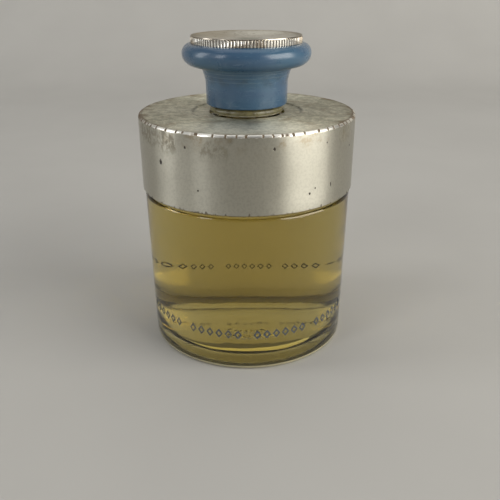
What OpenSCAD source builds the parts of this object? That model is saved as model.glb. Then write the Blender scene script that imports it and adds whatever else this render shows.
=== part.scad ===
// Aftershave bottle: a filled glass bottle with a drawn metal shoulder collar and a screw cap.
// Millimetres, +Z up. The origin is the middle of the base, and the front faces -Y.

/* [Glass bottle] */
// Diameter of the glass body just under the collar
glass_d = 65.8; // [64.8:0.1:66.0]
// How much narrower the glass is at its heel
glass_taper = 1.2; // [0:0.1:2]
// Height of the ledge under the collar's rim
ledge_z = 50.6; // [46:0.2:50.8]
// Depth of the ledge, where the collar goes over the glass
ledge_depth = 0.6; // [0.4:0.05:0.8]
// Height of the glass shoulder
shoulder_z = 73.4; // [70:0.1:73.4]
// Thickness of the side wall
wall_t = 2.7; // [2:0.1:3.5]
// Thickness of the glass floor at its edge
floor_t = 4.2; // [3.8:0.1:7]
// Rise of the glass floor towards its middle
floor_rise = 1.5; // [0.5:0.1:2]
// Rise of the hollow under the base
push_up = 2; // [0.8:0.1:2.5]
// Width of the ring that the bottle stands on
stand_ring_w = 5; // [3:0.2:7]

/* [Neck] */
// Diameter of the bead at the foot of the neck
bead_d = 22.8; // [21:0.1:23.2]
// Height of the bead
bead_h = 2.3; // [1.8:0.1:2.6]
// Diameter of the neck between its threads
neck_d = 17.7; // [17.2:0.1:17.9]
// Bore of the neck
bore_d = 13; // [11:0.1:13.4]
// Height of the lip
lip_z = 86.6; // [86:0.1:87]

/* [Screw thread] */
// Rise of the thread in one turn
pitch = 3.175; // [3:0.025:3.4]
// Turns of thread on the neck, and in the cap
thread_turns = 1.5; // [1:0.25:1.5]
// Height of a thread over its root
thread_h = 0.95; // [0.7:0.05:1]
// Width of a thread at its root
thread_root_w = 1.45; // [1.2:0.05:1.5]
// Width of a thread at its crest
thread_crest_w = 0.75; // [0.5:0.05:0.9]

/* [Aftershave] */
// Height of the liquid's surface
liquid_z = 64; // [30:0.5:66]

/* [Metal collar] */
// Outer diameter of the collar
collar_d = 67; // [66.8:0.1:68]
// Height of the collar's flat top
collar_top_z = 74.5; // [74.4:0.1:75]
// Height of the collar's lower rim
collar_rim_z = 51.6; // [51.2:0.1:54]
// Thickness of the sheet
sheet_t = 0.4; // [0.3:0.05:0.45]
// Diameter of the hole that the neck goes through
collar_hole_d = 23.4; // [23.4:0.1:25]
// Diameter of the seat pressed into the top round the neck
seat_d = 33.6; // [30:0.2:36]
// Depth of that seat
seat_depth = 0.35; // [0.2:0.05:0.4]

/* [Cap] */
// Diameter of the cap's skirt at its lower edge
skirt_d = 24.8; // [24.2:0.1:25]
// Height of the skirt's lower edge
skirt_z = 76.7; // [76.6:0.1:77.4]
// Inner diameter of the cap, at the root of its thread
cap_bore_d = 20.2; // [20:0.1:20.6]
// Outer diameter of the rounded flange
flange_d = 38.8; // [37:0.1:40]
// Height of the widest part of the flange
flange_z = 91.7; // [91.5:0.1:92]
// Inner diameter of the cup that the crown plugs into
cup_d = 27.8; // [27:0.1:28.2]
// Thickness of the liner with its facing
liner_t = 1; // [0.8:0.05:1.2]

/* [Crown] */
// Diameter over the reeds
crown_d = 33.3; // [32.6:0.1:33.6]
// Height of the reeded edge
crown_h = 2.2; // [2:0.1:2.6]
// Number of reeds
reeds = 108; // [90:2:120]
// Depth of a reed
reed_depth = 0.28; // [0.15:0.01:0.35]
// Depth of the dished top
dish_depth = 1.1; // [0.6:0.1:1.3]

/* [Printing] */
// Height of the middle of the front row
front_print_z = 12.8; // [10:0.2:30]
// Height of the middle of the rear row
rear_print_z = 14.4; // [10:0.2:30]
// Places for marks in the front row
front_marks = 27; // [13:7:27]
// Height of a front mark
front_mark_h = 3.1; // [2:0.1:3.6]
// Places for marks in the rear row
rear_marks = 62; // [20:7:69]
// Height of a rear mark
rear_mark_h = 2.1; // [1.4:0.1:2.4]
// Angle that the front row spans, in degrees
front_arc = 136; // [110:2:140]
// Angle that the rear row spans, in degrees
rear_arc = 176; // [160:2:190]

/* [Hidden] */
$fn = 96;
gap = 0.05;            // between the liquid and the glass, and between the print and the glass
far = 60;              // further out than any part reaches

heel_r = 1.4;          // rounding at the foot of the glass
glass_r = glass_d / 2;
heel_wall_r = glass_r - glass_taper / 2;
recess_r = glass_r - ledge_depth;
shoulder_round = 2.2;
bead_r = bead_d / 2;
bead_z = shoulder_z + 0.8;
neck_foot_r = bead_r - bead_h / 2;
neck_top_of_bead = bead_z + bead_h;
lip_round = 0.7;

cavity_r = recess_r - wall_t + ledge_depth / 2;
cavity_heel_r = heel_wall_r - wall_t;
cavity_floor_round = 2.2;
cavity_floor_z = floor_t;
cavity_shoulder_round = 6;
ceiling_z = shoulder_z - 2.6;
throat_round = 2.5;

collar_r = collar_d / 2;
collar_corner = 0.9;   // outer radius of the corner between the collar's side and top
rim_curl = 0.7;        // outer radius of the rim, which curls in over the ledge

seal_gap = 0.02;       // above and below the liner
web_z = lip_z + liner_t + 2 * seal_gap;
web_t = 2;
skirt_r = skirt_d / 2;
skirt_draft = 0.1;
flange_top_round = 2.8;
flange_under_round = 3.6;
cove_z = 82.2;
cove_w = 1.75;
cove_h = flange_z - flange_under_round - cove_z;
flange_r = flange_d / 2;
crown_z = flange_z + flange_top_round;
facing_t = 0.2;
liner_r = cap_bore_d / 2 - 0.4;

// Radial room between the neck's thread and the cap, and axial room between the two threads
neck_r = neck_d / 2;
cap_bore_r = cap_bore_d / 2;
thread_low_z = 80.1;   // middle of the neck's thread where it starts
thread_offset = 1.15;  // how far the cap's thread lies under the neck's
thread_steps = 40;     // per turn

// Points on an arc about c, from angle a to angle b.
function arc(c, r, a, b, n = 10) =
    [for (i = [0:n]) let (t = a + (b - a) * i / n) [c[0] + r * cos(t), c[1] + r * sin(t)]];

// Radius of the outside of the glass body at a height between the heel and the ledge.
function glass_wall_r(z) =
    heel_wall_r + (glass_r - heel_wall_r) * (z - heel_r) / (ledge_z - heel_r);

// Outline of the cavity on one side of the axis, drawn in by inset, from the floor up to the throat.
function cavity_outline(inset) = let (
    r0 = cavity_heel_r - inset, r1 = cavity_r - inset,
    z0 = cavity_floor_z + inset, z1 = ceiling_z - inset,
    fr = cavity_floor_round, sr = cavity_shoulder_round, flat = r0 - fr,
    ball = (flat * flat + floor_rise * floor_rise) / (2 * floor_rise))
    concat(arc([0, z0 + floor_rise - ball], ball, 90, 90 - asin(flat / ball), 8),
        arc([r0 - fr, z0 + fr], fr, -82, 0, 12),
        arc([r1 - sr, z1 - sr], sr, 0, 90, 12));

// A thread as one closed polyhedron: a ridge on a wall of radius root_r that stands out by h (in by -h),
// whose two ends fade into the wall.
module thread(root_r, h, z0) {
    n = round(thread_turns * thread_steps);
    fade = thread_steps / 8;
    sink = -sign(h) * 0.35;
    // One section: the two corners sunk in the wall, and the two on the crest.
    function section(i) = let (
        a = 360 * i / thread_steps, z = z0 + pitch * i / thread_steps,
        up = min(1, i / fade, (n - i) / fade),
        crest = root_r + sink / 2 + (h - sink / 2) * up)
        [for (p = [[root_r + sink, -thread_root_w / 2], [crest, -thread_crest_w / 2],
                   [crest, thread_crest_w / 2], [root_r + sink, thread_root_w / 2]])
            [p[0] * cos(a), p[0] * sin(a), z + p[1]]];
    points = [for (i = [0:n]) each section(i)];
    sides = [for (i = [0:n - 1], k = [0:3]) let (
        a = 4 * i + k, b = 4 * i + (k + 1) % 4, c = b + 4, d = a + 4) each [[a, b, c], [a, c, d]]];
    ends = [[0, 2, 1], [0, 3, 2], [4 * n, 4 * n + 1, 4 * n + 2], [4 * n, 4 * n + 2, 4 * n + 3]];
    faces = concat(sides, ends);
    polyhedron(points, h > 0 ? faces : [for (f = faces) [f[0], f[2], f[1]]]);
}

module bottle_glass() color([0.86, 0.9, 0.86, 0.4]) {
    push_r = heel_wall_r - heel_r - stand_ring_w;
    dome_r = (push_r * push_r + push_up * push_up) / (2 * push_up);
    dome_half = asin(push_r / dome_r);
    outside = concat(
        arc([0, push_up - dome_r], dome_r, 90, 90 - dome_half, 8),
        arc([heel_wall_r - heel_r, heel_r], heel_r, -90, 0),
        arc([glass_r - ledge_depth, ledge_z - ledge_depth], ledge_depth, 0, 90, 6),
        arc([recess_r - shoulder_round, shoulder_z - shoulder_round], shoulder_round, 0, 90),
        [[neck_foot_r, shoulder_z], [neck_foot_r, bead_z]],
        arc([neck_foot_r, bead_z + bead_h / 2], bead_h / 2, -90, 90, 12),
        [[neck_r, neck_top_of_bead], [neck_r, lip_z - lip_round]],
        arc([neck_r - lip_round, lip_z - lip_round], lip_round, 0, 90, 6));
    lip_inner = 0.4;
    inside = concat(
        cavity_outline(0),
        arc([bore_d / 2 + throat_round, ceiling_z + throat_round], throat_round, -90, -180, 8),
        arc([bore_d / 2 + lip_inner, lip_z - lip_inner], lip_inner, 180, 90, 4));
    rotate_extrude() polygon(concat(outside, [for (i = [len(inside) - 1:-1:0]) inside[i]]));
    thread(neck_r, thread_h, thread_low_z);
}

module aftershave_liquid() color([0.66, 0.56, 0.2, 0.7]) {
    intersection() {
        rotate_extrude() polygon(concat(cavity_outline(gap), [[0, ceiling_z - gap]]));
        cylinder(h = liquid_z, r = far);
    }
}

// Outline of the collar's outer face (t = 0) or inner face (t = sheet_t), from the hole to the rim.
function collar_face(t) = concat(
    [[collar_hole_d / 2, collar_top_z - seat_depth - t],
     [seat_d / 2 - t / 2, collar_top_z - seat_depth - t],
     [seat_d / 2 + seat_depth - t / 2, collar_top_z - t]],
    arc([collar_r - collar_corner, collar_top_z - collar_corner], collar_corner - t, 90, 0, 8),
    arc([collar_r - rim_curl, collar_rim_z + rim_curl], rim_curl - t, 0, -80, 6));

module shoulder_collar() color([0.66, 0.64, 0.6]) {
    inner = collar_face(sheet_t);
    rotate_extrude() polygon(concat(collar_face(0), [for (i = [len(inner) - 1:-1:0]) inner[i]]));
}

// A row of outlined lozenges, flat on the glass at height z, about the direction in degrees. Every seventh
// place in the row is left empty.
module printed_row(z, count, direction, arc, w, h, stroke) {
    film_t = 0.1;
    skip = 7;
    lean = atan(glass_taper / 2 / (ledge_z - heel_r));
    inner = 1 - 2 * stroke * sqrt(w * w + h * h) / (w * h);
    module lozenge(size) {
        polygon([[w / 2, 0], [0, h / 2], [-w / 2, 0], [0, -h / 2]] * size);
    }
    for (i = [0:count - 1]) if (i % skip != skip - 1)
        rotate(direction + arc * (i / (count - 1) - 0.5))
            translate([glass_wall_r(z) + gap, 0, z])
                rotate([0, lean, 0]) rotate([90, 0, 90]) linear_extrude(film_t)
                    difference() {
                        lozenge(1);
                        lozenge(inner);
                    }
}

module front_print() color([0.2, 0.27, 0.4])
    printed_row(front_print_z, front_marks, -90, front_arc, 2.35, front_mark_h, 0.4);

module rear_print() color([0.2, 0.27, 0.4])
    printed_row(rear_print_z, rear_marks, 90, rear_arc, 1.2, rear_mark_h, 0.18);

module cap_shell() {
    edge_round = 0.4;
    step = 0.08;
    cup_r = cup_d / 2;
    // Part of the cove, between two shares of its quarter ellipse, moved out a little.
    function cove(a, b, out) = [for (i = [0:6]) let (t = 90 * (a + (b - a) * i / 6))
        [skirt_r + skirt_draft + cove_w * (1 - cos(t)) + out, cove_z + cove_h * sin(t)]];
    outside = concat(
        [[cap_bore_r + 0.4, skirt_z]],
        arc([skirt_r - edge_round, skirt_z + edge_round], edge_round, -90, 0, 5),
        cove(0, 0.2, 0), cove(0.22, 0.45, step), cove(0.48, 0.7, 2 * step), cove(0.73, 1, 3 * step),
        arc([flange_r - flange_under_round, flange_z], flange_under_round, -90, 0, 14),
        arc([flange_r - flange_top_round, flange_z], flange_top_round, 0, 90, 12));
    inside = concat(
        [[cup_r, crown_z]],
        arc([cup_r - 1, web_z + web_t + 1], 1, 0, -90, 5),
        [[0, web_z + web_t], [0, web_z], [cap_bore_r, web_z], [cap_bore_r, skirt_z + 0.4]]);
    color([0.2, 0.35, 0.55]) {
        rotate_extrude() polygon(concat(outside, inside));
        thread(cap_bore_r, -thread_h, thread_low_z - thread_offset);
    }
}

module cap_crown() color([0.75, 0.73, 0.68]) {
    root_r = crown_d / 2 - reed_depth;
    top_z = crown_z + crown_h;
    bevel = 0.45;
    dish_r = root_r - 0.6;
    ball_r = (dish_r * dish_r + dish_depth * dish_depth) / (2 * dish_depth);
    ball_half = asin(dish_r / ball_r);
    spigot_r = cup_d / 2 - 0.04;
    spigot_h = 3.4;
    spigot_wall = 1.4;
    plate_t = 0.9;         // from the plate's underside to the lowest point of the dish
    plate_z = top_z - dish_depth - plate_t;
    // Across one reed: a flat groove, a slope up, a narrow crest and a slope down, as shares of its width.
    reed = [[0, 0], [0.3, 0], [0.5, 1], [0.8, 1]];
    intersection() {
        union() {
            translate([0, 0, crown_z]) linear_extrude(crown_h)
                polygon([for (i = [0:reeds - 1], p = reed) let (a = 360 * (i + p[0]) / reeds,
                    r = root_r + reed_depth * p[1]) [r * cos(a), r * sin(a)]]);
            translate([0, 0, crown_z - spigot_h]) cylinder(h = spigot_h + crown_h / 2, r = spigot_r);
        }
        rotate_extrude() polygon(concat(
            arc([0, top_z - dish_depth + ball_r], ball_r, -90, -90 + ball_half, 8),
            [[crown_d / 2 - bevel, top_z], [crown_d / 2 + 1, top_z - bevel - 1],
             [crown_d / 2 + 1, crown_z - spigot_h], [spigot_r - spigot_wall, crown_z - spigot_h],
             [spigot_r - spigot_wall, plate_z], [0, plate_z]]));
    }
}

module cap_liner_board() color([0.8, 0.76, 0.66])
    translate([0, 0, lip_z + seal_gap + facing_t]) cylinder(h = liner_t - facing_t, r = liner_r);

module cap_liner_facing() color([0.9, 0.9, 0.88])
    translate([0, 0, lip_z + seal_gap]) cylinder(h = facing_t, r = liner_r);

bottle_glass();
aftershave_liquid();
shoulder_collar();
front_print();
rear_print();
cap_shell();
cap_crown();
cap_liner_board();
cap_liner_facing();
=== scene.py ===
import math

import bmesh
import bpy
import numpy as np
from mathutils import Euler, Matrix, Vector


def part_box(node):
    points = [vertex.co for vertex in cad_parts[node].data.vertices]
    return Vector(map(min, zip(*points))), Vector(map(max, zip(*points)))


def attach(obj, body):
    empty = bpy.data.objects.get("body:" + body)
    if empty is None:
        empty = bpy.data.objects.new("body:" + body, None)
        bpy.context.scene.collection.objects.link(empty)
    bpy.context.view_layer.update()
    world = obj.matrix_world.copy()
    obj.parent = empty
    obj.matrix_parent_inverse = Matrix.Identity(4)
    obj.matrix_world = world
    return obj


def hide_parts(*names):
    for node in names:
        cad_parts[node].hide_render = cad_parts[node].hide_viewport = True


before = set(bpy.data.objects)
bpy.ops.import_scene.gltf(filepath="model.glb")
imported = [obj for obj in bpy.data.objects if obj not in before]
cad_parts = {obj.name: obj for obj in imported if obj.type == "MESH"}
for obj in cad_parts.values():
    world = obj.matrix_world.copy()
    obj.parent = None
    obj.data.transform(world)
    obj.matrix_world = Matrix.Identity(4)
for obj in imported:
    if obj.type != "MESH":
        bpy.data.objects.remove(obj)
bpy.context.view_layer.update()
MM = 0.001

# ---------------------------------------------------------------- sizes, in mm, from the frame


def span(node):
    """Half width, lowest and highest height of a CAD node."""
    lo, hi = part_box(node)
    return (hi.x - lo.x) / 2 / MM, lo.z / MM, hi.z / MM


GLASS_R, _, LIP_Z = span("bottle_glass")
CAVITY_R, FLOOR_Z, LIQUID_Z = span("aftershave_liquid")
COLLAR_R, RIM_Z, COLLAR_TOP = span("shoulder_collar")
FLANGE_R, SKIRT_Z, CUP_Z = span("cap_shell")
CROWN_R, SPIGOT_Z, CROWN_TOP = span("cap_crown")
LINER_R, FACING_Z, FACING_TOP = span("cap_liner_facing")
_, BOARD_Z, BOARD_TOP = span("cap_liner_board")

GLASS_TAPER = 0.6          # how much smaller the glass's radius is at its heel
HEEL_ROUND = 1.4
LEDGE_Z = 50.6             # the ledge under the collar's rim
LEDGE_DEPTH = 0.6
SHOULDER_Z = 73.4
SHEET_T = 0.4
NECK_R = 8.85
BORE_R = 6.5
BEAD_R = 11.4
BEAD_Z = SHOULDER_Z + 0.8
BEAD_H = 2.3
PITCH = 3.175
THREAD_Z = 80.1            # middle of the neck's thread where it starts
CAP_THREAD_Z = THREAD_Z - 1.15
THREAD_TURNS = 1.5
THREAD_H = 0.95
HALF_ROOT, HALF_CREST = 0.725, 0.375
SKIRT_R = 12.4
CAP_BORE_R = 10.1
COVE_Z = 82.2
FLANGE_Z = 91.7
CUP_R = 13.9
REEDS = 108
REED_DEPTH = 0.28
SEAT_R = 16.8              # the seat pressed into the collar's top
HOLE_R = 11.7


# ---------------------------------------------------------------- mesh tools


def rounded(corners, step=9.0):
    """An outline through corners (r, z, rounding), each rounded by an arc with a point every step degrees."""
    n = len(corners)
    out = []
    for i, (r, z, rho) in enumerate(corners):
        b = np.array((r, z), float)
        if rho <= 0:
            out.append(tuple(b))
            continue
        a = np.array(corners[(i - 1) % n][:2], float)
        c = np.array(corners[(i + 1) % n][:2], float)
        u, v = (a - b) / np.linalg.norm(a - b), (c - b) / np.linalg.norm(c - b)
        half = math.acos(max(-1.0, min(1.0, float(u @ v)))) / 2
        reach = rho / math.tan(half)
        limit = 0.495 * min(np.linalg.norm(a - b), np.linalg.norm(c - b))
        if reach > limit:
            reach, rho = limit, limit * math.tan(half)
        mid = b + (u + v) / np.linalg.norm(u + v) * rho / math.sin(half)
        p, q = b + u * reach - mid, b + v * reach - mid
        t0, t1 = math.atan2(p[1], p[0]), math.atan2(q[1], q[0])
        turn = (t1 - t0 + math.pi) % (2 * math.pi) - math.pi
        k = max(2, math.ceil(abs(math.degrees(turn)) / step))
        out += [(mid[0] + rho * math.cos(t0 + turn * j / k), mid[1] + rho * math.sin(t0 + turn * j / k))
                for j in range(k + 1)]
    return out


def refined(outline, longest, where=lambda r, z: True):
    """The outline with its long edges split, where both their ends are in the given region."""
    out = []
    n = len(outline)
    for i in range(n):
        a, b = outline[i], outline[(i + 1) % n]
        out.append(a)
        if where(*a) and where(*b):
            k = math.ceil(math.dist(a, b) / longest)
            out += [(a[0] + (b[0] - a[0]) * j / k, a[1] + (b[1] - a[1]) * j / k) for j in range(1, k)]
    return out


def lathe(name, outline, segments=256, shape=None, sharp=35.0):
    """A closed outline (r, z), anticlockwise, turned round Z. shape(r, z, angle) may move a point."""
    bm = bmesh.new()
    rings = []
    angles = [2 * math.pi * i / segments for i in range(segments)]
    for r, z in outline:
        if r < 1e-6:
            rings.append([bm.verts.new((0, 0, z * MM))])
            continue
        ring = []
        for a in angles:
            rr, zz = shape(r, z, a) if shape else (r, z)
            ring.append(bm.verts.new((rr * math.cos(a) * MM, rr * math.sin(a) * MM, zz * MM)))
        rings.append(ring)
    n = len(rings)
    for i in range(n):
        a, b = rings[i], rings[(i + 1) % n]
        if len(a) == 1 and len(b) == 1:
            continue
        for j in range(segments):
            k = (j + 1) % segments
            if len(a) == 1:
                bm.faces.new((a[0], b[k], b[j]))
            elif len(b) == 1:
                bm.faces.new((a[j], a[k], b[0]))
            else:
                bm.faces.new((a[j], a[k], b[k], b[j]))
    bmesh.ops.recalc_face_normals(bm, faces=bm.faces)
    mesh = bpy.data.meshes.new(name)
    bm.to_mesh(mesh)
    bm.free()
    mesh.shade_smooth()
    mesh.set_sharp_from_angle(angle=math.radians(sharp))
    o = bpy.data.objects.new(name, mesh)
    bpy.context.scene.collection.objects.link(o)
    return o


def smooth_noise(seed, waves):
    """A smooth random function of an angle, about -1 to 1."""
    rng = np.random.default_rng(seed)
    terms = [(k, rng.normal() / math.sqrt(len(waves)), rng.uniform(0, 2 * math.pi)) for k in waves]
    return lambda a: sum(s * math.sin(k * a + p) for k, s, p in terms)


def thread_bump(z, angle, start):
    """Height, 0 to 1, of a right-hand thread at a place. Its section slopes, and its ends fade."""
    best = 0.0
    for turn in range(math.ceil(THREAD_TURNS) + 1):
        t = angle / (2 * math.pi) + turn
        if t > THREAD_TURNS:
            break
        off = abs(z - (start + PITCH * t))
        fade = min(1.0, t * 8, (THREAD_TURNS - t) * 8)
        best = max(best, fade * min(1.0, max(0.0, (HALF_ROOT - off) / (HALF_ROOT - HALF_CREST))))
    return best


def arc(r, z, rho, a, b, n):
    """Points (r, z, 0) on an arc from angle a to angle b, in degrees."""
    return [(r + rho * math.cos(math.radians(a + (b - a) * i / n)),
             z + rho * math.sin(math.radians(a + (b - a) * i / n)), 0) for i in range(n + 1)]


# ---------------------------------------------------------------- node tools


class Nodes:
    """A material and short ways to add nodes to it."""

    def __init__(self, name):
        self.mat = bpy.data.materials.new(name)
        self.mat.use_nodes = True
        self.tree = self.mat.node_tree
        self.tree.nodes.clear()
        self.out = self.add("ShaderNodeOutputMaterial")
        self.coord = self.add("ShaderNodeTexCoord").outputs["Object"]

    def add(self, kind, **values):
        node = self.tree.nodes.new(kind)
        for key, value in values.items():
            key = key.replace("_", " ")
            if key in node.inputs:
                self.put(node.inputs[key], value)
            else:
                setattr(node, key.replace(" ", "_"), value)
        return node

    def put(self, socket, value):
        if isinstance(value, bpy.types.NodeSocket):
            self.tree.links.new(value, socket)
        elif socket.type == "RGBA" and len(value) == 3:
            socket.default_value = (*value, 1)
        else:
            socket.default_value = value

    def math(self, operation, a, b=0.0, clamp=False):
        node = self.add("ShaderNodeMath", operation=operation, use_clamp=clamp)
        self.put(node.inputs[0], a)
        self.put(node.inputs[1], b)
        return node.outputs[0]

    def times(self, a, b):
        return self.math("MULTIPLY", a, b)

    def plus(self, a, b):
        return self.math("ADD", a, b)

    def minus(self, a, b, clamp=False):
        return self.math("SUBTRACT", a, b, clamp)

    def most(self, a, b):
        return self.math("MAXIMUM", a, b)

    def apart(self, a, b):
        """How far two values are from each other."""
        return self.math("ABSOLUTE", self.math("SUBTRACT", a, b))

    def band(self, value, low, high, to_low=0.0, to_high=1.0):
        """value mapped smoothly from low..high to to_low..to_high."""
        node = self.add("ShaderNodeMapRange", interpolation_type="SMOOTHSTEP")
        for key, v in (("Value", value), ("From Min", low), ("From Max", high),
                       ("To Min", to_low), ("To Max", to_high)):
            self.put(node.inputs[key], v)
        return node.outputs["Result"]

    def scaled(self, x, y, z):
        node = self.add("ShaderNodeVectorMath", operation="MULTIPLY")
        self.put(node.inputs[0], self.coord)
        node.inputs[1].default_value = (x, y, z)
        return node.outputs[0]

    def noise(self, scale, detail=3.0, roughness=0.55, vector=None, distortion=0.0):
        node = self.add("ShaderNodeTexNoise", Scale=scale, Detail=detail, Roughness=roughness,
                        Distortion=distortion)
        self.put(node.inputs["Vector"], vector if vector is not None else self.coord)
        return node.outputs["Fac"]

    def voronoi(self, scale):
        node = self.add("ShaderNodeTexVoronoi", feature="F1", Scale=scale, Randomness=1.0)
        self.put(node.inputs["Vector"], self.coord)
        return node.outputs["Distance"]

    def mix(self, factor, a, b):
        node = self.add("ShaderNodeMix", data_type="RGBA")
        self.put(node.inputs[0], factor)
        self.put(node.inputs[6], a)
        self.put(node.inputs[7], b)
        return node.outputs[2]

    def cylinder(self):
        """Radius and height in metres, the angle in turns, and X and Y in metres."""
        parts = self.add("ShaderNodeSeparateXYZ")
        self.put(parts.inputs[0], self.coord)
        x, y, z = parts.outputs
        radius = self.math("SQRT", self.plus(self.times(x, x), self.times(y, y)))
        return radius, z, self.math("DIVIDE", self.math("ARCTAN2", y, x), 2 * math.pi), x, y

    def near(self, point, size):
        """1 at a point, in mm, falling to 0 at the given distances from it along X, Y and Z."""
        away = self.add("ShaderNodeVectorMath", operation="SUBTRACT")
        self.put(away.inputs[0], self.coord)
        away.inputs[1].default_value = [c * MM for c in point]
        share = self.add("ShaderNodeVectorMath", operation="DIVIDE")
        self.put(share.inputs[0], away.outputs[0])
        share.inputs[1].default_value = [c * MM for c in size]
        length = self.add("ShaderNodeVectorMath", operation="LENGTH")
        self.put(length.inputs[0], share.outputs[0])
        return self.band(length.outputs["Value"], 0.2, 1.0, 1.0, 0.0)

    def bump(self, height, strength, distance):
        node = self.add("ShaderNodeBump", Strength=strength, Distance=distance, Height=height)
        return node.outputs["Normal"]

    def surface(self, **values):
        node = self.add("ShaderNodeBsdfPrincipled")
        for key, value in values.items():
            self.put(node.inputs[key.replace("_", " ")], value)
        self.tree.links.new(node.outputs[0], self.out.inputs["Surface"])
        return self.mat

    def absorb(self, colour, density):
        node = self.add("ShaderNodeVolumeAbsorption", Color=colour, Density=density)
        self.tree.links.new(node.outputs[0], self.out.inputs["Volume"])


def place(o, material, body=None, replaces=None):
    """Give a piece its material and, unless it is a CAD node, attach it to its body and hide the CAD node
    that it replaces.
    """
    o.data.materials.clear()
    o.data.materials.append(material)
    if replaces is not None:
        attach(o, body)
        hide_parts(replaces)
    return o


# ---------------------------------------------------------------- glass bottle

HEEL_WALL = GLASS_R - GLASS_TAPER
GAP = 0.05                 # between the CAD's liquid and the glass
PUSH_UP = 2.0
RING_W = 5.0
RECESS_R = GLASS_R - LEDGE_DEPTH
LEDGE_DROP = 1.0           # height of the ledge's rounded edge
dome_r = HEEL_WALL - HEEL_ROUND - RING_W
ball = (dome_r ** 2 + PUSH_UP ** 2) / (2 * PUSH_UP)
half = math.degrees(math.asin(dome_r / ball))
WALL_LOW = CAVITY_R - 0.25
WALL_IN = CAVITY_R + GAP
CEILING = SHOULDER_Z - 2.6
FLOOR_ROUND = 2.2
FLOOR_RISE = 1.5
WAVE = 0.10                # how uneven the inside of the wall is
GLASS_IOR, LIQUID_IOR = 1.52, 1.365
LOBES = smooth_noise(3, (2, 3, 4, 5))
MARK_H = 0.3               # height of the bars under the base
MARKS_R = 13               # they lie inside this radius
FOOT_IN, FOOT_TOP = 28.3, 1.3
CRUST_TOP = BEAD_Z + BEAD_H
flat = WALL_LOW - FLOOR_ROUND
floor_ball = (flat ** 2 + FLOOR_RISE ** 2) / (2 * FLOOR_RISE)
floor_half = math.degrees(math.asin(flat / floor_ball))


def cavity_floor(inset):
    """The domed floor of the cavity and the rounding up to its wall, drawn in by inset."""
    low = FLOOR_Z - GAP
    return (arc(0, low + FLOOR_RISE - floor_ball, floor_ball + inset, 90, 90 - floor_half, 10)
            + arc(flat, low + FLOOR_ROUND, FLOOR_ROUND - inset, -82, 0, 14))


def in_cavity(r, z):
    """Whether a point is well inside the outer wall and above the cavity's floor. The neck counts too."""
    return r < RECESS_R - 1.5 and z > FLOOR_Z - 0.2


def on_neck_thread(z, margin):
    return BEAD_Z + BEAD_H < z < LIP_Z - margin


cavity = cavity_floor(0) + [(WALL_IN, CEILING, 6.0), (BORE_R, CEILING, 2.5), (BORE_R, LIP_Z, 0.4)]
ledge = [(RECESS_R + LEDGE_DEPTH * math.cos(t), LEDGE_Z - LEDGE_DROP * (1 - math.sin(t)), 0)
         for t in np.linspace(0, 1.5, 9)]
outline = rounded(
    arc(0, PUSH_UP - ball, ball, 90, 90 - half, 10)
    + [(HEEL_WALL, 0, HEEL_ROUND)]
    + ledge
    + [(RECESS_R, LEDGE_Z + 0.02, 0.05), (RECESS_R, SHOULDER_Z, 2.2), (BEAD_R - BEAD_H / 2, SHOULDER_Z, 0.2)]
    + arc(BEAD_R - BEAD_H / 2, BEAD_Z + BEAD_H / 2, BEAD_H / 2, -90, 90, 14)
    + [(NECK_R, BEAD_Z + BEAD_H, 0.3), (NECK_R, LIP_Z, 0.7)] + cavity[::-1])


def cavity_wave(r, z, angle):
    """The blown inside of the glass isn't quite round: how far its wall swells, in mm."""
    if r < BORE_R + 1 or z > SHOULDER_Z:
        return 0.0
    lift = min(1.0, max(0.0, (z - FLOOR_Z) / 6))
    return WAVE * (0.6 * LOBES(angle) + 0.4 * math.sin(z / 7.0 + 2 * LOBES(angle + 1))) * lift


def base_marks(r, angle):
    """Two arcs of short raised bars on the underside of the base, 1 on a bar and 0 between them."""
    best = 0.0
    for low, high, bars, first, last in ((4.5, 6.6, 7, -150, -40), (9.0, 11.6, 9, -125, -50)):
        share = (math.degrees(math.remainder(angle, 2 * math.pi)) - first) / (last - first)
        if 0 < share < 1 and low < r < high:
            across = 1 - abs((share * bars) % 1.0 - 0.5) / 0.32
            best = max(best, min(1.0, max(0.0, across * 2)) * min(1.0, (r - low) / 0.4, (high - r) / 0.4))
    return best


def glass_shape(r, z, angle):
    if r < MARKS_R and z < PUSH_UP + 0.1:
        return r, z - MARK_H * base_marks(r, angle)
    if NECK_R - 0.2 < r < NECK_R + 0.2 and on_neck_thread(z, 0.8):
        return r + THREAD_H * thread_bump(z, angle, THREAD_Z), z
    if in_cavity(r, z):
        return r + cavity_wave(r, z, angle), z
    return r, z


outline = refined(outline, 0.25, lambda r, z: abs(r - NECK_R) < 0.1 and on_neck_thread(z, 0.6))
outline = refined(outline, 3.0, lambda r, z: r > BORE_R + 0.1 and z > 2.5)
outline = refined(outline, 0.4, lambda r, z: 2.4 < r < 14.5 and z < PUSH_UP + 0.1)
glass = lathe("glass_bottle", outline, 256, glass_shape, sharp=50)

m = Nodes("clear_glass")
radius, height, turn, x, y = m.cylinder()
smudge = m.noise(60, 4, 0.6)
film = m.band(smudge, 0.5, 0.75, 0.0, 0.06)
ripple = m.noise(55, 2, 0.4, m.scaled(1, 1, 0.6))
tint = m.mix(m.band(smudge, 0.45, 0.8), (0.97, 0.98, 0.94), (0.93, 0.94, 0.88))
# the glass of the foot is tinted darker, partly as heavy glass and partly as painted shade, most so towards
# the front
foot_tint_and_shade = m.band(height, 4.6 * MM, 7.0 * MM, 1.0, 0.0)
tint = m.mix(foot_tint_and_shade, tint, m.mix(m.band(y, -20 * MM, 6 * MM), (0.30, 0.285, 0.17), (0.80, 0.78, 0.62)))
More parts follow.
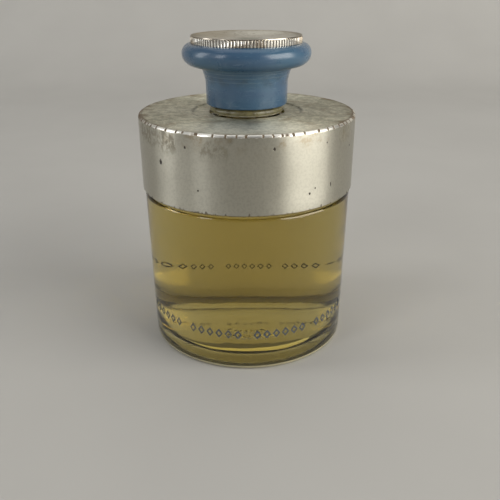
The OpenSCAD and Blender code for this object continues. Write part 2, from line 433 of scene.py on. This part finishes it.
# a film of dried aftershave on the bead and the lower neck
dried = m.times(m.band(height, 73.3 * MM, 74.2 * MM), m.band(height, 78 * MM, 81 * MM, 1.0, 0.0))
tint = m.mix(m.times(dried, 0.85), tint, (0.88, 0.81, 0.56))
haze = m.plus(film, 0.012)
haze = m.plus(haze, m.times(dried, m.band(m.noise(300, 2, 0.5), 0.3, 0.7, 0.0, 0.1)))
m.surface(Base_Color=tint, Transmission_Weight=1.0, IOR=GLASS_IOR, Roughness=haze,
          Normal=m.bump(ripple, 0.25, 0.0003))
place(glass, m.mat, "bottle", "bottle_glass")

# Where the liquid wets it, the glass bends light by the ratio of the two, and barely mirrors.
m = Nodes("wetted_glass")
radius, height, turn, x, y = m.cylinder()
ripple = m.noise(55, 2, 0.4, m.scaled(1, 1, 0.6))
streak = m.noise(60, 3, 0.5, m.scaled(0.35, 0.35, 2.6))
low = m.band(height, 9 * MM, 36 * MM, 1.0, 0.15)
ripple = m.plus(ripple, m.times(m.times(streak, low), 1.6))
film = m.noise(130, 2, 0.5)
m.surface(Base_Color=m.mix(film, (0.99, 0.99, 0.98), (0.97, 0.97, 0.95)), Transmission_Weight=1.0,
          IOR=GLASS_IOR / LIQUID_IOR, Roughness=m.band(film, 0.45, 0.8, 0.0, 0.02),
          Normal=m.bump(ripple, 0.5, 0.0006))
glass.data.materials.append(m.mat)

# The ring that the bottle stands on is stippled and rubbed dull; its diffuse olive colour is painted light
# and shade, standing in for the floor under the heel.
m = Nodes("rubbed_foot_painted_light")
dirt = m.noise(300, 4, 0.65)
m.surface(Base_Color=m.mix(dirt, (0.42, 0.38, 0.22), (0.60, 0.55, 0.36)), Transmission_Weight=0.25,
          IOR=GLASS_IOR, Roughness=0.35, Normal=m.bump(m.voronoi(900), 0.4, 0.0002))
glass.data.materials.append(m.mat)

# Dried aftershave on the bead: a pale crust where it stands over the collar, which is also painted highlight
# along the bead's lower lip, and an olive film above.
m = Nodes("crusted_bead_painted_highlight")
radius, height, turn, x, y = m.cylinder()
crust = m.band(m.noise(500, 4, 0.7), 0.4, 0.65)
# pale: the crust, and painted highlight along the bead's lower lip
pale = m.mix(crust, (0.82, 0.78, 0.62), (0.50, 0.43, 0.27))
olive = m.mix(crust, (0.25, 0.225, 0.115), (0.16, 0.14, 0.07))
m.surface(Base_Color=m.mix(m.band(height, (BEAD_Z + 0.5) * MM, (BEAD_Z + 0.75) * MM), pale, olive),
          Transmission_Weight=0.35, IOR=GLASS_IOR, Roughness=0.22, Normal=m.bump(crust, 0.4, 0.0002))
glass.data.materials.append(m.mat)

WETTED, FOOT, BEAD = 1, 2, 3   # places of the materials after the clear glass
for face in glass.data.polygons:
    r, z = math.hypot(face.center.x, face.center.y) / MM, face.center.z / MM
    if in_cavity(r, z) and z < LIQUID_Z:
        face.material_index = WETTED
    elif FOOT_IN < r and z < FOOT_TOP:
        face.material_index = FOOT
    elif BEAD_R - BEAD_H < r and BEAD_Z - 0.3 < z < CRUST_TOP:
        face.material_index = BEAD

# ---------------------------------------------------------------- aftershave

SKIN = 0.02                # the liquid stands this far clear of the glass, which does all the bending
MENISCUS, MENISCUS_W = 0.9, 1.6
side_r = WALL_IN - SKIN
body = [(r, z) for r, z, _ in cavity_floor(SKIN)] + [(side_r, LIQUID_Z)]
surface = [(side_r * k, LIQUID_Z - MENISCUS * (1 - math.exp(-(1 - k) * side_r / MENISCUS_W)), 0)
           for k in (0.99, 0.975, 0.955, 0.93, 0.9, 0.85, 0.75, 0.5, 0)]
body = refined(body + [(r, z) for r, z, _ in surface], 3.0, lambda r, z: r > side_r - 2)
liquid = lathe("aftershave", body, 192,
               lambda r, z, a: (r + cavity_wave(r, z, a) * min(1, r / side_r), z), sharp=60)

m = Nodes("aftershave")
haze = m.noise(40, 2, 0.5)
m.surface(Base_Color=m.mix(haze, (1, 1, 0.99), (0.98, 0.98, 0.96)), Transmission_Weight=1.0, IOR=1.0,
          Roughness=0.0)
m.absorb((0.745, 0.630, 0.055), 43.0)
place(liquid, m.mat, "bottle", "aftershave_liquid")

# ---------------------------------------------------------------- metal collar

SEAT_DEPTH = 0.35
CORNER = 0.9
CURL = 0.7


def collar_face(t):
    """Outer face (t = 0) or inner face (t = SHEET_T) of the sheet, from the hole to the rim."""
    return ([(HOLE_R, COLLAR_TOP - SEAT_DEPTH - t, 0.0), (SEAT_R - t / 2, COLLAR_TOP - SEAT_DEPTH - t, 0.35),
             (SEAT_R + SEAT_DEPTH - t / 2, COLLAR_TOP - t, 0.35), (COLLAR_R - t, COLLAR_TOP - t, CORNER - t),
             (COLLAR_R - t, RIM_Z + t, CURL - t)], (COLLAR_R - CURL + 0.12, RIM_Z + t))


dents = smooth_noise(11, (5, 8, 13, 21, 34))
nicks = smooth_noise(12, (31, 47, 71, 97))


def collar_shape(r, z, angle):
    if z > COLLAR_TOP - 1.6 and r > SEAT_R + 4:
        press = min(1.0, (r - SEAT_R - 4) / 8)
        return r - 0.03 * abs(dents(angle)), z - 0.05 * abs(dents(angle + 0.7)) * press
    if z < RIM_Z + 1.2:
        return r - 0.03 * abs(nicks(angle)), z + 0.07 * max(0.0, nicks(angle + 2)) * (1 - (z - RIM_Z) / 1.2)
    return r - 0.02 * abs(dents(angle + 0.3)), z


outer, lip = collar_face(0)
inner, inner_lip = collar_face(SHEET_T)
sheet = rounded(outer + [(*lip, 0.12), (*inner_lip, 0.12)] + inner[::-1], 8)
sheet = refined(sheet, 2.5)
collar = lathe("shoulder_collar_metal", sheet, 384, collar_shape, sharp=50)

m = Nodes("collar_metal")
radius, height, turn, x, y = m.cylinder()
top = m.band(height, (COLLAR_TOP - 1.0) * MM, (COLLAR_TOP - 0.35) * MM)
wander = m.times(m.minus(m.noise(330, 3, 0.6, m.scaled(1, 1, 0.0)), 0.5), 0.9 * MM)
edge = m.times(m.band(radius, (COLLAR_R - 0.75) * MM, (COLLAR_R - 0.5) * MM),
              m.band(m.plus(height, wander), (COLLAR_TOP - 0.85) * MM, (COLLAR_TOP - 0.65) * MM))
near_rim = m.band(height, (COLLAR_TOP - 7) * MM, (COLLAR_TOP - 1) * MM)
cloud = m.noise(38, 3, 0.5)
grain = m.noise(1500, 2, 0.6)
fleck = m.noise(420, 4, 0.7)
ring_place = m.add("ShaderNodeCombineXYZ", X=x, Y=y, Z=0.0).outputs[0]
side = m.minus(1.0, top)


def on_side(direction, z):
    """A point on the collar's side, at an angle from the front in degrees (positive to the right)."""
    a = math.radians(direction)
    return (COLLAR_R * math.sin(a), -COLLAR_R * math.cos(a), z)


# bright dashes along the top edge, partly worn metal and partly painted highlight, left out at the far left
# where no highlight falls, with dark gaps between them
DASHES = 62
ragged = m.noise(900, 3, 0.6)
along = m.plus(turn, m.times(m.noise(42, 2, 0.5, ring_place), 0.05))
cells = m.add("ShaderNodeTexVoronoi", voronoi_dimensions="1D", feature="DISTANCE_TO_EDGE",
              Scale=DASHES, W=along)
crack = m.plus(cells.outputs["Distance"], m.times(m.minus(ragged, 0.5), 0.30))
gap = m.band(crack, 0.08, 0.13, 1.0, 0.0)
worn = m.band(m.noise(110, 3, 0.6, ring_place), 0.36, 0.46)
highlight_arc = m.minus(1.0, m.near(on_side(-84, COLLAR_TOP), (19, 19, 8)))
worn = m.times(worn, highlight_arc)
worn_dash_highlight = m.times(edge, m.times(worn, m.minus(1.0, gap)))
rot = m.times(edge, m.minus(1.0, worn_dash_highlight))
# brown tarnish on both sides of the edge
creep = m.noise(190, 5, 0.7)
brown = m.times(near_rim, m.band(creep, 0.5, 0.66))
rim_top = m.times(top, m.band(radius, (COLLAR_R - 4.5) * MM, (COLLAR_R - 1.0) * MM))
ochre = m.times(rim_top, m.band(creep, 0.4, 0.62))
# drips: thin dark outlines within patches under the edge
drip_field = m.noise(330, 3, 0.55, m.scaled(1, 1, 0.42), 0.8)
outline_of_drip = m.band(m.apart(drip_field, 0.5), 0.0, 0.05, 1.0, 0.0)
PATCHES = ((-58, 72.0, 8.5, 5.0), (-43, 70.5, 6.5, 5.5), (-15, 69.0, 6.0, 4.5),
           (58, 71.5, 6.0, 3.5), (120, 71, 9, 6), (-150, 70, 8, 6))   # direction, height, width, tallness
patches = 0.0
for direction, z, wide, tall in PATCHES:
    patches = m.most(patches, m.near(on_side(direction, z), (wide, wide, tall)))
spread = m.noise(120, 4, 0.65, m.scaled(1, 1, 0.7))
patches = m.band(m.plus(patches, m.times(m.minus(spread, 0.5), 2.4)), 0.15, 0.5)
patches = m.times(patches, m.band(height, (COLLAR_TOP - 9) * MM, (COLLAR_TOP - 4) * MM))
blotch = m.band(m.noise(620, 4, 0.7, m.scaled(1, 1, 0.6)), 0.46, 0.56)
mark = m.most(m.times(outline_of_drip, 0.5), m.times(blotch, 0.7))
stain = m.times(side, m.times(patches, mark))
# pits, given like the patches
PITS = ((-46.9, 64.6, 0.75, 1.25), (-30, 70.2, 0.5, 0.6), (12.8, 70.6, 0.5, 0.7), (41.8, 70.4, 0.35, 0.35),
        (64.5, 66.9, 0.45, 0.5), (46, 57.8, 0.35, 1.0), (-23.8, 58.4, 0.4, 0.4), (31.8, 56.7, 0.45, 0.5),
        (35, 58.0, 0.35, 0.4), (105, 62, 0.6, 0.9), (160, 60, 0.5, 0.5), (-120, 57, 0.5, 0.8))
pits = 0.0
for direction, z, wide, tall in PITS:
    pits = m.most(pits, m.near(on_side(direction, z), (wide, wide, tall)))
pits = m.band(m.times(pits, m.band(m.noise(1100, 2, 0.6), 0.25, 0.6)), 0.1, 0.4)
speck = m.times(m.band(m.voronoi(330), 0.0, 0.11, 1.0, 0.0), m.band(m.noise(95, 2), 0.5, 0.62))
# nicks along the rim, and painted shade on its lip, where it meets the glass
bite_top = m.times(m.band(m.noise(640, 3, 0.65, ring_place), 0.52, 0.66), 0.8 * MM)
bites = m.band(m.minus(height, bite_top), (RIM_Z + 0.1) * MM, (RIM_Z + 0.3) * MM, 1.0, 0.0)
lip_shade = m.band(height, (RIM_Z + 0.05) * MM, (RIM_Z + 0.4) * MM, 1.0, 0.0)
# dirt caught in the seat round the neck, and pale dust on the top
seat = m.times(top, m.band(m.apart(radius, (SEAT_R + 0.1) * MM),
                                      0.15 * MM, 0.9 * MM, 1.0, 0.0))
seat_dirt = m.times(seat, m.band(m.noise(260, 4, 0.7), 0.4, 0.6))
dust_zone = m.times(top, m.band(radius, 14 * MM, 24 * MM, 1.0, 0.0))
dust = m.times(dust_zone, m.band(m.noise(520, 3, 0.75), 0.5, 0.75))
crumb_side = m.most(m.near((-14, -8, COLLAR_TOP), (9, 9, 6)), 0.25)
crumbs = m.times(m.times(dust_zone, crumb_side), m.band(m.voronoi(520), 0.0, 0.24, 1.0, 0.0))
# painted shade: a little darker round the hole, under the bead
hole_shade = m.band(radius, (HOLE_R + 0.2) * MM, (HOLE_R + 2.2) * MM, 1.0, 0.0)

tone = m.mix(cloud, (0.46, 0.44, 0.37), (0.58, 0.56, 0.475))
tone = m.mix(m.times(m.band(grain, 0.45, 0.62), 0.28), tone, (0.37, 0.35, 0.295))
cloudy = m.noise(330, 5, 0.75)
top_tone = m.mix(m.band(cloudy, 0.36, 0.64), (0.48, 0.46, 0.345), (0.80, 0.77, 0.625))
tone = m.mix(top, tone, top_tone)
tone = m.mix(m.times(brown, 0.6), tone, (0.32, 0.24, 0.14))
tone = m.mix(m.times(ochre, 0.75), tone, (0.27, 0.19, 0.095))
rust = m.times(m.band(radius, (COLLAR_R - 1.5) * MM, (COLLAR_R - 1.0) * MM), m.band(creep, 0.33, 0.5))
tone = m.mix(m.times(rust, m.times(top, 0.75)), tone, (0.20, 0.13, 0.065))
tone = m.mix(m.times(patches, m.times(side, 0.22)), tone, (0.33, 0.305, 0.235))
tone = m.mix(m.times(stain, 0.9), tone, (0.155, 0.13, 0.08))
tone = m.mix(m.times(speck, 0.5), tone, (0.16, 0.13, 0.10))
front_dust = m.near((0, -26, COLLAR_TOP), (34, 11, 6))
tone = m.mix(m.times(top, m.times(front_dust, 0.8)), tone, (0.84, 0.81, 0.68))
speckle = m.band(m.noise(800, 3, 0.75), 0.42, 0.62)
tone = m.mix(m.times(m.times(top, speckle), 0.35), tone, (0.30, 0.29, 0.22))
tone = m.mix(m.times(dust, 0.6), tone, (0.60, 0.60, 0.53))
tone = m.mix(m.times(seat_dirt, 0.6), tone, (0.16, 0.15, 0.12))
# painted shade round the hole
tone = m.mix(m.times(hole_shade, 0.35), tone, (0.34, 0.32, 0.25))
tone = m.mix(crumbs, tone, (0.92, 0.91, 0.87))
tone = m.mix(pits, tone, (0.05, 0.04, 0.03))
tone = m.mix(m.times(rot, 0.85), tone, (0.12, 0.075, 0.04))
# painted highlight: near-white on the worn dashes
tone = m.mix(worn_dash_highlight, tone, (0.99, 0.96, 0.87))
tone = m.mix(m.times(bites, 0.85), tone, (0.10, 0.08, 0.05))
# painted shade along the rim's lip
tone = m.mix(m.times(lip_shade, 0.8), tone, (0.10, 0.085, 0.06))
dull = m.most(m.most(stain, rot), m.most(pits, m.most(dust, bites)))
rough = m.band(cloud, 0.3, 0.7, 0.30, 0.42)
rough = m.plus(rough, m.times(top, 0.14))
rough = m.plus(rough, m.times(dull, 0.25))
rough = m.minus(rough, m.times(worn_dash_highlight, 0.12), clamp=True)
relief = m.minus(m.times(grain, 0.25), m.most(pits, m.times(stain, 0.3)))
relief = m.minus(relief, m.times(rot, 0.5))
m.surface(Base_Color=tone, Metallic=m.minus(1.0, m.times(dull, 0.75)), Roughness=rough,
          Anisotropic=0.75, Anisotropic_Rotation=0.25,
          Tangent=m.add("ShaderNodeTangent", direction_type="RADIAL", axis="Z").outputs[0],
          Normal=m.bump(m.plus(relief, m.times(fleck, 0.15)), 0.5, 0.00012))
place(collar, m.mat, "bottle", "shoulder_collar")

# ---------------------------------------------------------------- cap

RINGS = 5                  # fine steps round the cove
STEP = 0.11                # how far each of them stands out
RING_START = 0.25          # share of the cove's quarter ellipse that is plain, below the steps
TOP_ROUND, UNDER_ROUND = 2.8, 3.6
COVE_H = FLANGE_Z - UNDER_ROUND - COVE_Z
COVE_W = 1.75
SKIRT_TOP = SKIRT_R + 0.1
WEB_Z, WEB_TOP = BOARD_TOP + 0.02, BOARD_TOP + 2.02   # the web between the liner and the crown's cup


def cove(a, b, out):
    """Part of the cove under the flange, between two shares of its quarter ellipse, moved out a little."""
    ts = np.linspace(a, b, 5) * math.pi / 2
    return [(SKIRT_TOP + COVE_W * (1 - math.cos(t)) + out, COVE_Z + COVE_H * math.sin(t), 0) for t in ts]


def step_start(i):
    """The share of the cove's quarter ellipse at which a step begins."""
    return RING_START + (1 - RING_START) * i / RINGS


cove_rings = [cove(0, RING_START * 0.97, 0)]
cove_rings += [cove(step_start(i), step_start(i + 0.93), (i + 1) * STEP) for i in range(RINGS)]
shell_outline = rounded(
    [(CAP_BORE_R + 0.4, SKIRT_Z, 0.15), (SKIRT_R, SKIRT_Z, 0.4), (SKIRT_TOP, COVE_Z - 0.1, 0)]
    + [p for ring in cove_rings for p in ring]
    + arc(FLANGE_R - UNDER_ROUND, FLANGE_Z, UNDER_ROUND, -90, 0, 18)
    + arc(FLANGE_R - TOP_ROUND, FLANGE_Z, TOP_ROUND, 0, 90, 16)[1:]
    + [(CUP_R, CUP_Z, 0.15), (CUP_R, WEB_TOP, 1.0), (0, WEB_TOP, 0), (0, WEB_Z, 0),
       (CAP_BORE_R, WEB_Z, 0.3), (CAP_BORE_R, SKIRT_Z + 0.5, 0.05)])
shell_outline = refined(shell_outline, 0.25, lambda r, z: abs(r - CAP_BORE_R) < 0.1 and z > SKIRT_Z + 0.5)


def shell_shape(r, z, angle):
    if abs(r - CAP_BORE_R) < 0.15 and SKIRT_Z + 0.6 < z < BOARD_Z:
        return r - THREAD_H * thread_bump(z, angle, CAP_THREAD_Z), z
    return r, z


shell = lathe("cap_moulding", shell_outline, 256, shell_shape, sharp=40)

m = Nodes("blue_plastic")
radius, height, turn, x, y = m.cylinder()
mottle = m.noise(110, 4, 0.6)
flow = m.noise(60, 3, 0.5, m.scaled(1, 1, 3.0))
dust = m.band(m.noise(700, 3, 0.7), 0.6, 0.8)
scuff = m.band(m.noise(260, 2, 0.5, m.scaled(1, 1, 7.0)), 0.62, 0.72)
# darker in the cove under the flange
darker_zone = m.band(m.apart(height, (COVE_Z + 2.4) * MM), 0.3 * MM, 2.4 * MM, 1.0, 0.0)
darker_zone = m.times(darker_zone, m.band(m.noise(300, 3, 0.6), 0.35, 0.65))
tone = m.mix(mottle, (0.042, 0.092, 0.165), (0.053, 0.113, 0.190))
tone = m.mix(m.times(m.band(flow, 0.45, 0.65), 0.35), tone, (0.062, 0.155, 0.225))
tone = m.mix(m.times(dust, 0.12), tone, (0.35, 0.36, 0.34))
tone = m.mix(m.times(scuff, 0.14), tone, (0.25, 0.33, 0.42))
tone = m.mix(m.times(darker_zone, 0.5), tone, (0.035, 0.055, 0.07))
# painted highlights: the steps' lower edges are lightened in thin uneven lines
ring_edge_highlights = 0.0
for i in range(RINGS):
    step_z = COVE_Z + COVE_H * math.sin(math.pi / 2 * step_start(i))
    off = m.apart(height, step_z * MM)
    ring_edge_highlights = m.most(ring_edge_highlights, m.band(off, 0.06 * MM, 0.22 * MM, 1.0, 0.0))
ring_edge_highlights = m.times(ring_edge_highlights, m.band(m.noise(90, 3, 0.6), 0.35, 0.6))
tone = m.mix(m.times(ring_edge_highlights, 0.3), tone, (0.26, 0.34, 0.40))
m.surface(Base_Color=tone, Roughness=m.plus(m.band(mottle, 0.3, 0.7, 0.22, 0.32),
                                            m.times(scuff, 0.12)),
          IOR=1.5, Coat_Weight=0.25, Coat_Roughness=0.12,
          Normal=m.bump(m.plus(m.times(mottle, 0.7), m.times(scuff, -0.2)), 0.25, 0.00015))
place(shell, m.mat, "cap", "cap_shell")

# ---------------------------------------------------------------- crown

ROOT_R = CROWN_R - REED_DEPTH
DISH_R = ROOT_R - 0.6
DISH = 1.1
dish_ball = (DISH_R ** 2 + DISH ** 2) / (2 * DISH)
dish_half = math.degrees(math.asin(DISH_R / dish_ball))
PLATE_Z = CROWN_TOP - DISH - 0.9
SPIGOT_R = CUP_R - 0.04
SPIGOT_IN = SPIGOT_R - 1.4
REED_END = 0.42            # the reeds begin to run out this far under the crown's top


def reed_height(phase):
    """Across one reed, from 0 in the groove to 1 on the crest, which is gently rounded."""
    d = abs((phase % 1.0) - 0.5) * 2
    if d > 0.78:
        return 0.0
    return min(1.0, (0.78 - d) / 0.3) * (1 - 0.10 * (d / 0.5) ** 2)


def crown_shape(r, z, angle):
    if z > CUP_Z - 0.01 and r > ROOT_R - 0.9:
        share = min(1.0, max(0.0, (r - ROOT_R + 0.35) / (CROWN_R - ROOT_R + 0.35)))
        over = min(1.0, max(0.0, (z - CROWN_TOP + REED_END) / 0.12))
        reed = reed_height(angle / (2 * math.pi) * REEDS)
        return r - REED_DEPTH * share * (1 - reed * (1 - over) - 0.55 * over), z
    return r, z


crown_outline = rounded(
    arc(0, CROWN_TOP - DISH + dish_ball, dish_ball, -90, -90 + dish_half * 0.93, 14)
    + [(DISH_R - 0.25, CROWN_TOP - 0.16, 0.4), (DISH_R + 0.05, CROWN_TOP, 0.12),
       (CROWN_R - 0.02, CROWN_TOP, 0.06), (CROWN_R, CROWN_TOP - 0.2, 0), (CROWN_R, CROWN_TOP - 0.3, 0),
       (CROWN_R, CROWN_TOP - REED_END, 0), (CROWN_R, CUP_Z, 0.1), (SPIGOT_R, CUP_Z, 0),
       (SPIGOT_R, SPIGOT_Z, 0.3), (SPIGOT_IN, SPIGOT_Z, 0.3), (SPIGOT_IN, PLATE_Z, 0.4), (0, PLATE_Z, 0)], 12)
crown = lathe("cap_crown_plated", crown_outline, REEDS * 10, crown_shape, sharp=40)

m = Nodes("silver_plating")
radius, height, turn, x, y = m.cylinder()
wall = m.band(radius, (ROOT_R - 0.35) * MM, (ROOT_R - 0.15) * MM)
# grooves are darker, by how far the surface lies under the crests
groove = m.times(wall, m.band(radius, (ROOT_R + 0.03) * MM, (ROOT_R + REED_DEPTH * 0.75) * MM, 1.0, 0.0))
groove = m.times(groove, m.band(height, (CROWN_TOP - 0.5) * MM, (CROWN_TOP - 0.3) * MM, 1.0, 0.0))
top = m.band(height, (CROWN_TOP - 1.6) * MM, (CROWN_TOP - 1.0) * MM)
top = m.times(top, m.band(radius, (ROOT_R - 0.1) * MM, (ROOT_R + 0.05) * MM, 1.0, 0.0))
spots = m.band(m.noise(700, 4, 0.75), 0.5, 0.72)
bloom = m.band(m.noise(70, 3, 0.55), 0.33, 0.72)
freckle = m.times(m.band(m.voronoi(900), 0.08, 0.26, 1.0, 0.0), m.band(m.noise(230, 2), 0.45, 0.6))
centre = m.near((0.5, -2, CROWN_TOP - 1), (6.5, 7, 6))
rim = m.times(top, m.band(radius, (DISH_R - 1.6) * MM, (DISH_R - 0.2) * MM))
swirl = m.noise(240, 3, 0.6, m.scaled(1, 1, 4))
tone = m.mix(m.band(swirl, 0.4, 0.6), (0.84, 0.81, 0.73), (0.95, 0.93, 0.87))
tone = m.mix(m.times(top, m.times(bloom, 0.7)), tone, (0.52, 0.43, 0.28))
bronze = m.near((-11, 4, CROWN_TOP), (9, 16, 6))
tone = m.mix(m.times(top, m.times(bronze, 0.85)), tone, (0.30, 0.235, 0.14))
tone = m.mix(m.times(top, 0.45), tone, (0.50, 0.455, 0.36))
# painted highlight: a bright patch on the top, towards the back and right
top_highlight = m.near((5, 11, CROWN_TOP), (12, 7, 6))
tone = m.mix(m.times(top, m.times(top_highlight, 0.9)), tone, (0.99, 0.96, 0.86))
tone = m.mix(m.times(top, m.times(spots, 0.7)), tone, (0.27, 0.215, 0.13))
tone = m.mix(m.times(rim, 0.5), tone, (0.36, 0.29, 0.19))
tone = m.mix(m.times(rim, m.times(freckle, 0.6)), tone, (0.20, 0.15, 0.09))
tone = m.mix(m.times(top, m.times(centre, 0.8)), tone, (0.17, 0.165, 0.12))
tone = m.mix(m.times(groove, 0.8), tone, (0.10, 0.075, 0.055))
# painted shade: the crown's left and right ends are darkened, and dulled
ends = m.most(m.near((-17, -2, CROWN_TOP - 1.2), (7, 10, 5)),
              m.near((17.5, -1, CROWN_TOP - 1.2), (6, 12, 5)))
tone = m.mix(m.times(ends, 0.85), tone, (0.24, 0.20, 0.14))
lip_dirt = m.times(wall, m.band(height, (CROWN_TOP - 0.5) * MM, (CROWN_TOP - 0.35) * MM))
tone = m.mix(m.times(lip_dirt, 0.6), tone, (0.27, 0.205, 0.12))
side_rot = m.times(wall, m.band(m.noise(160, 3, 0.65), 0.5, 0.7))
tone = m.mix(m.times(side_rot, 0.55), tone, (0.30, 0.22, 0.14))
darker_zone = m.times(top, m.most(m.times(centre, 0.95), m.times(bronze, 0.7)))
darker_zone = m.times(darker_zone, m.plus(0.55, m.times(spots, 0.45)))
rough = m.plus(m.plus(0.18, m.times(darker_zone, 0.35)), m.times(ends, 0.1))
rough = m.plus(rough, m.times(top, m.band(spots, 0.0, 1.0, 0.10, 0.26)))
rough = m.plus(rough, m.times(groove, 0.25))
dull = m.most(m.times(groove, 0.5), m.times(darker_zone, 0.85))
m.surface(Base_Color=tone, Metallic=m.minus(1.0, dull), Roughness=rough,
          Normal=m.bump(m.plus(m.times(spots, -0.3), m.times(swirl, 0.1)), 0.3, 0.00008))
place(crown, m.mat, "cap", "cap_crown")

# ---------------------------------------------------------------- liner

fibre = smooth_noise(21, (7, 12, 19, 31))
board = lathe("liner_board", rounded([(0, BOARD_Z, 0), (LINER_R, BOARD_Z, 0.06), (LINER_R, BOARD_TOP, 0.18),
                                      (0, BOARD_TOP, 0)]), 128,
              lambda r, z, a: (r - 0.04 * abs(fibre(a)) if r > LINER_R - 0.3 else r, z))
m = Nodes("liner_board")
pulp = m.noise(900, 5, 0.75, m.scaled(1, 1, 4))
m.surface(Base_Color=m.mix(pulp, (0.42, 0.34, 0.22), (0.70, 0.62, 0.47)), Roughness=0.85,
          Normal=m.bump(pulp, 0.6, 0.00015))
place(board, m.mat, "liner", "cap_liner_board")

PRINT_RING = 0.04          # the lip has pressed a faint ring into the facing
facing = lathe("liner_facing", rounded(
    [(0, FACING_Z, 0), (BORE_R + 0.3, FACING_Z, 0.3), (BORE_R + 0.6, FACING_Z + PRINT_RING, 0.2),
     (NECK_R - 0.4, FACING_Z + PRINT_RING, 0.2), (NECK_R - 0.1, FACING_Z, 0.2), (LINER_R, FACING_Z, 0.05),
     (LINER_R, FACING_TOP, 0.03), (0, FACING_TOP, 0)]), 128)
m = Nodes("liner_facing")
radius, height, turn, x, y = m.cylinder()
paper = m.noise(600, 4, 0.6)
wet = m.band(m.apart(radius, 7.7 * MM), 0.4 * MM, 1.3 * MM, 1.0, 0.0)
m.surface(Base_Color=m.mix(m.times(wet, 0.45), m.mix(paper, (0.78, 0.77, 0.72), (0.88, 0.87, 0.83)),
                           (0.55, 0.47, 0.28)), Roughness=0.45, Normal=m.bump(paper, 0.3, 0.0001))
place(facing, m.mat, "liner", "cap_liner_facing")

# ---------------------------------------------------------------- printing

m = Nodes("ink")
wear = m.band(m.noise(900, 3, 0.7), 0.56, 0.72)
m.surface(Base_Color=m.mix(wear, (0.045, 0.063, 0.105), (0.10, 0.12, 0.14)),
          Roughness=m.band(wear, 0, 1, 0.45, 0.7), Normal=m.bump(wear, 0.3, 0.00005))
for node in ("front_print", "rear_print"):
    place(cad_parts[node], m.mat)

# ---------------------------------------------------------------- stage, light and camera


def area_light(name, direction, elevation, distance, width, tall, power, colour=(1, 1, 1)):
    """A soft rectangular light, aimed at the bottle. Its direction runs from the front to the right."""
    a, e = math.radians(direction), math.radians(elevation)
    data = bpy.data.lights.new(name, "AREA")
    data.shape, data.size, data.size_y = "RECTANGLE", width, tall
    data.energy, data.color = power, colour
    o = bpy.data.objects.new(name, data)
    o.location = (distance * math.cos(e) * math.sin(a), -distance * math.cos(e) * math.cos(a),
                  distance * math.sin(e) + 0.05)
    o.rotation_euler = Euler((math.pi / 2 - e, 0, a))
    bpy.context.scene.collection.objects.link(o)
    return o


def sweep():
    """Floor and backdrop in one sheet, curved where they meet, just clear of the base."""
    bm = bmesh.new()
    half, near, far, bend, tall, level = 1.6, -1.0, 0.75, 0.3, 0.9, -0.00005
    line = [(near, level), (-0.3, level), (0.0, level), (far - bend, level)]
    line += [(far - bend + bend * math.sin(t), level + bend - bend * math.cos(t))
             for t in np.linspace(0.1, math.pi / 2, 14)]
    line += [(far, tall)]
    rows = [[bm.verts.new((x, y, z)) for x in (-half, -0.4, 0, 0.4, half)] for y, z in line]
    for a, b in zip(rows, rows[1:]):
        for i in range(len(a) - 1):
            bm.faces.new((a[i], a[i + 1], b[i + 1], b[i]))
    mesh = bpy.data.meshes.new("floor")
    bm.to_mesh(mesh)
    bm.free()
    mesh.shade_smooth()
    o = bpy.data.objects.new("floor", mesh)
    bpy.context.scene.collection.objects.link(o)
    return o


floor = sweep()
m = Nodes("pale_floor")
cloth = m.noise(14, 3, 0.5)
pale = m.mix(cloth, (0.47, 0.455, 0.425), (0.53, 0.515, 0.48))
floor.data.materials.append(m.surface(Base_Color=pale, Roughness=0.8))

area_light("window_left_outer", -88, 20, 1.1, 0.34, 0.8, 3.3, (0.98, 0.99, 1.0))
area_light("window_left_inner", -48, 24, 1.25, 0.30, 0.7, 2.6, (0.98, 0.99, 1.0))
area_light("window_right", 64, 20, 1.05, 0.95, 0.8, 11.6, (1.0, 0.98, 0.93))
area_light("ceiling", 170, 78, 1.3, 1.4, 1.2, 4.0)

scene = bpy.context.scene
scene.cycles.max_bounces = 32
scene.cycles.transmission_bounces = 32
world = bpy.data.worlds.new("studio")
world.use_nodes = True
world.node_tree.nodes["Background"].inputs["Color"].default_value = (0.80, 0.81, 0.82, 1)
world.node_tree.nodes["Background"].inputs["Strength"].default_value = 0.20
scene.world = world
scene.view_settings.view_transform = "Standard"

# the photo's camera, found from measured edges of the object
PITCH_DOWN, ROLL = 24.32, 0.24
camera = bpy.data.objects.new("camera", bpy.data.cameras.new("camera"))
camera.data.sensor_width = 36
camera.data.lens = 43.8
camera.data.clip_start = 0.01
scene.collection.objects.link(camera)
camera.location = (0.0008, -0.1906, 0.1127)
tilt = Euler((math.radians(90 - PITCH_DOWN), 0, 0)).to_matrix()
roll = Euler((0, 0, math.radians(-ROLL))).to_matrix()
camera.rotation_euler = (tilt @ roll).to_euler()
scene.camera = camera
